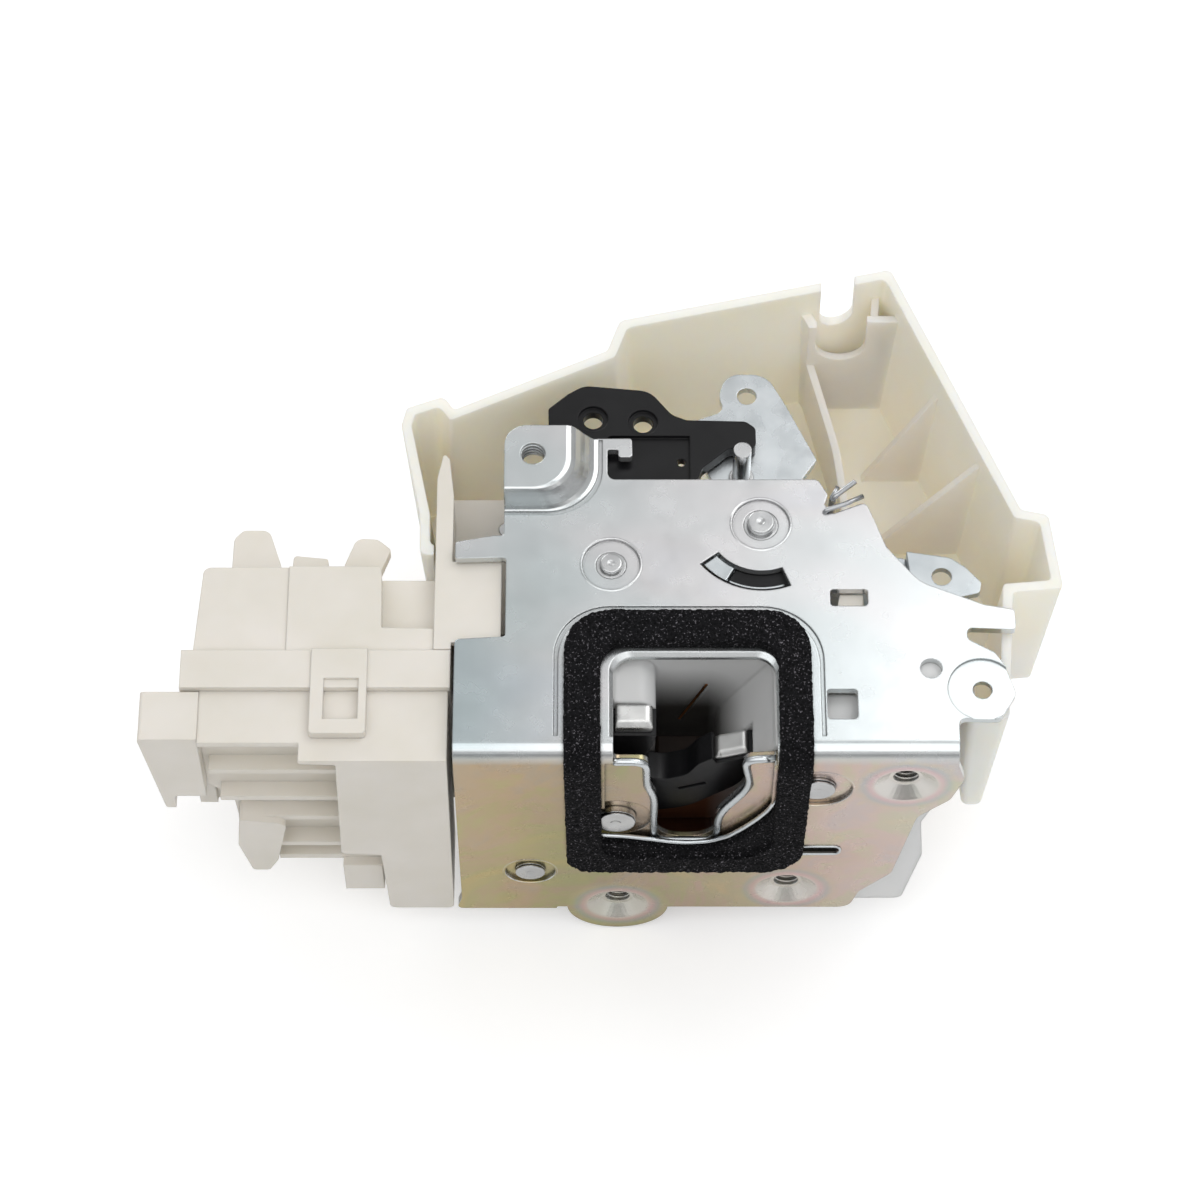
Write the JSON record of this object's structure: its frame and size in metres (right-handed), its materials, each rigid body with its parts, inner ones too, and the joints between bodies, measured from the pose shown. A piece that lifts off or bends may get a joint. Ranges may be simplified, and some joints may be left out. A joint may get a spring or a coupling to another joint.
{
  "type": "vehicle door latch actuator",
  "caption": "Vehicle door latch with its power lock actuator: bent steel plate with a striker slot, claw, pawl, levers, motor drive and a moulded cable shell.",
  "frame": {"origin": "mouth of the striker slot: on the slot's centre line, on the outer face of the end plate and level with the outer face of the inboard plate", "axes": "+X along the bend towards the outer-handle lever, +Y up the inboard plate away from the bend, +Z out of the inboard plate; the striker leaves along +Z"},
  "size_m": [0.1814, 0.1181, 0.0827],
  "materials": {
    "zinc_plated_steel": "bright zinc plate, yellow to pink passivation on the end face",
    "black_foam": "open-celled foam",
    "bare_steel": "bare, satin",
    "turned_steel": "turned, zinc plated",
    "spring_steel": "drawn wire",
    "lever_steel": "stamped, zinc plated",
    "contact_brass": "bright",
    "black_plastic": "moulded, satin",
    "black_rubber": "matt",
    "white_plastic": "natural acetal, slightly translucent",
    "cream_plastic": "natural polypropylene, satin",
    "ferrite": "sintered ferrite"
  },
  "bodies": {
    "latch_frame": {"latch_plate": "zinc_plated_steel", "foam_seal": "black_foam", "claw_pin": "turned_steel", "pawl_pin": "turned_steel", "body_rivet": "turned_steel", "claw_spring": "spring_steel", "pawl_spring": "spring_steel", "latch_body": "white_plastic", "striker_bumper": "black_rubber", "back_plate": "zinc_plated_steel", "lever_pin_left": "turned_steel", "lever_pin_right": "turned_steel", "lever_spacer": "white_plastic", "lever_spring": "spring_steel", "side_lever_pin": "turned_steel", "lever_base": "white_plastic", "actuator_case": "white_plastic", "actuator_cover": "white_plastic", "case_screws": "turned_steel", "connector_shroud": "white_plastic", "connector_pins": "contact_brass", "motor_can": "bare_steel", "motor_cap": "black_plastic", "motor_magnets": "ferrite", "wheel_axle": "turned_steel", "door_switch": "black_plastic", "lead_frame": "contact_brass", "protective_shell": "cream_plastic", "shell_screws": "turned_steel"},
    "claw": {"claw": "bare_steel", "claw_cover": "black_plastic"},
    "pawl": {"pawl": "bare_steel", "pawl_cover": "black_plastic"},
    "inside_arm": {"inside_lever": "black_plastic"},
    "release_arm": {"release_lever": "lever_steel", "release_stud": "turned_steel"},
    "outside_arm": {"outside_lever": "lever_steel"},
    "lock_arm": {"lock_lever": "lever_steel"},
    "link": {"lock_link": "white_plastic"},
    "wheel": {"worm_wheel": "white_plastic"},
    "rotor": {"motor_rotor": "bare_steel", "worm": "contact_brass"}
  },
  "joints": [
    {"name": "claw_turn", "type": "hinge", "parent": "latch_frame", "child": "claw", "pos_m": [-0.014, 0.0076, -0.0295], "axis": [0, 1, 0], "range_deg": [0, 65], "stiffness_Nm_per_rad": 0.12, "springref_deg": -45.84},
    {"name": "pawl_turn", "type": "hinge", "parent": "latch_frame", "child": "pawl", "pos_m": [0.0254, 0.0076, -0.0144], "axis": [0, 1, 0], "range_deg": [0, 8]},
    {"name": "inside_lever_turn", "type": "hinge", "parent": "latch_frame", "child": "inside_arm", "pos_m": [-0.0149, 0.0426, -0.0039], "axis": [0, 0, 1], "range_deg": [-5, 0], "stiffness_Nm_per_rad": 0.008, "springref_deg": 20.05},
    {"name": "release_lever_turn", "type": "hinge", "parent": "latch_frame", "child": "release_arm", "pos_m": [0.0149, 0.0519, -0.0068], "axis": [0, 0, 1], "range_deg": [-8.1, 0]},
    {"name": "outside_lever_turn", "type": "hinge", "parent": "latch_frame", "child": "outside_arm", "pos_m": [0.038, 0.0336, -0.0104], "axis": [0, 0, 1], "range_deg": [-6, 12]},
    {"name": "rotor_spin", "type": "hinge", "parent": "latch_frame", "child": "rotor", "pos_m": [-0.08, 0.02, -0.018], "axis": [1, 0, 0], "range_deg": [0, 1963.08]},
    {"name": "worm_wheel_turn", "type": "hinge", "parent": "latch_frame", "child": "wheel", "pos_m": [-0.0618, 0.0323, -0.018], "axis": [0, 0, 1], "range_deg": [-98.16, 0]},
    {"name": "lock_link_slide", "type": "slide", "parent": "latch_frame", "child": "link", "axis": [1, 0, 0], "range_m": [0, 0.01058]},
    {"name": "lock_lever_turn", "type": "hinge", "parent": "latch_frame", "child": "lock_arm", "pos_m": [0.0149, 0.0519, -0.0032], "axis": [0, 0, 1], "range_deg": [0, 34.01]}
  ],
  "couplings": [
    {"joint": "release_lever_turn", "follows": "inside_lever_turn", "ratio": 1.62},
    {"joint": "worm_wheel_turn", "follows": "rotor_spin", "ratio": -0.05},
    {"joint": "lock_link_slide", "follows": "rotor_spin", "m_per_rad": 0.00030874},
    {"joint": "lock_lever_turn", "follows": "rotor_spin", "ratio": 0.01732}
  ]
}
